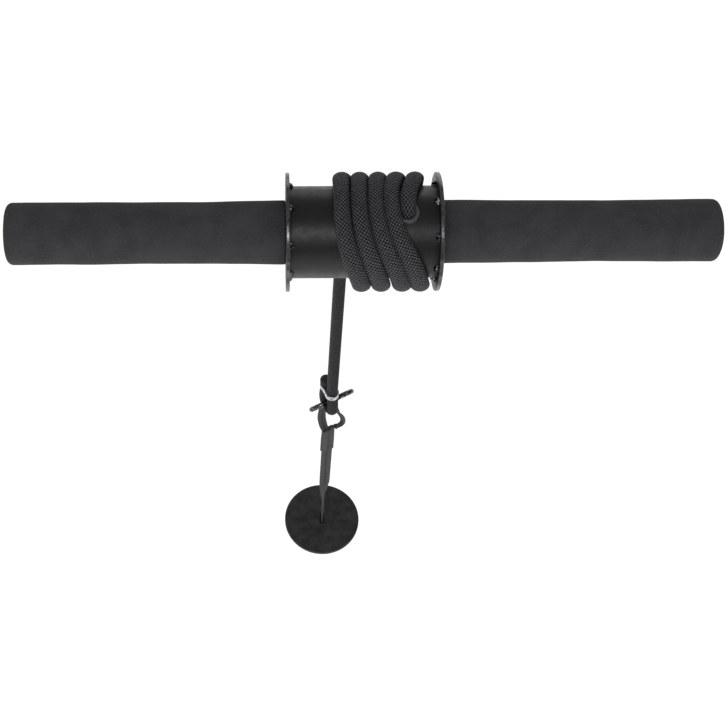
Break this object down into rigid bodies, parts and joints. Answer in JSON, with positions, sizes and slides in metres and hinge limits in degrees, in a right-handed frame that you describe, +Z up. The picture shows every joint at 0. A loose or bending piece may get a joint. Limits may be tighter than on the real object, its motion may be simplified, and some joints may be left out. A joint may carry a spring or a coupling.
{
  "type": "wrist roller",
  "caption": "Wrist roller: a bar with foam grips and a flanged steel drum that winds a rope, which holds a snap clip, a strap and a rubber disc for plates.",
  "frame": {"origin": "on the bar's axis at the middle of the drum", "axes": "+X along the bar to the right grip, +Y away from the user, +Z up; the rope leaves the drum's back and hangs along -Z"},
  "size_m": [0.465, 0.1275, 0.6507],
  "materials": {
    "tube_steel": "plain steel tube",
    "plug_plastic": "moulded black plastic",
    "grip_foam": "closed-cell foam, matte",
    "drum_steel": "black powder coat, satin",
    "flange_steel": "black powder coat, satin",
    "weld_steel": "weld beads under black powder coat",
    "grommet_steel": "black coated rim, worn",
    "rope_cord": "braided black polyester",
    "crimp_steel": "bright zinc-plated steel",
    "clip_steel": "bright dark nickel",
    "spring_steel": "spring wire",
    "strap_webbing_cloth": "woven nylon webbing",
    "pin_steel": "zinc-plated steel",
    "disc_rubber": "moulded black rubber"
  },
  "bodies": {
    "root": {"bar_tube": "tube_steel", "left_end_plug": "plug_plastic", "right_end_plug": "plug_plastic", "left_grip": "grip_foam", "right_grip": "grip_foam", "drum_shell": "drum_steel", "left_flange": "flange_steel", "right_flange": "flange_steel", "left_weld_beads": "weld_steel", "right_weld_beads": "weld_steel", "rope_grommet": "grommet_steel", "rope_stopper_knot": "rope_cord", "rope_turns": "rope_cord"},
    "line": {"rope_hanging": "rope_cord", "rope_eye": "rope_cord", "eye_crimp": "crimp_steel"},
    "clip": {"clip_body": "clip_steel", "gate_rivet": "clip_steel"},
    "gate": {"clip_gate": "clip_steel", "gate_spring": "spring_steel"},
    "strap": {"strap_eye": "strap_webbing_cloth", "strap_sewn_end": "strap_webbing_cloth", "strap_webbing": "strap_webbing_cloth", "stop_pin": "pin_steel"},
    "disc": {"load_disc": "disc_rubber"}
  },
  "joints": [
    {"name": "line_wind", "type": "slide", "parent": "root", "child": "line", "axis": [0, 0, 1], "range_m": [-0.88, 0.2], "deforming": ["rope_hanging"]},
    {"name": "clip_swing", "type": "hinge", "parent": "line", "child": "clip", "pos_m": [-0.0108, 0.0411, -0.32], "axis": [0.891, 0.454, 0], "range_deg": [-25, 25]},
    {"name": "gate_open", "type": "hinge", "parent": "clip", "child": "gate", "pos_m": [-0.0043, 0.04441, -0.32], "axis": [-0.4147, 0.814, 0.4067], "range_deg": [0, 20], "stiffness_Nm_per_rad": 0.02, "springref_deg": -11.46},
    {"name": "strap_swing", "type": "hinge", "parent": "clip", "child": "strap", "pos_m": [-0.00867, 0.05058, -0.33681], "axis": [0.891, 0.454, 0], "range_deg": [-40, 40]},
    {"name": "disc_tilt", "type": "hinge", "parent": "strap", "child": "disc", "pos_m": [-0.00867, 0.05058, -0.5973], "axis": [0, 1, 0], "range_deg": [-8, 8]}
  ]
}
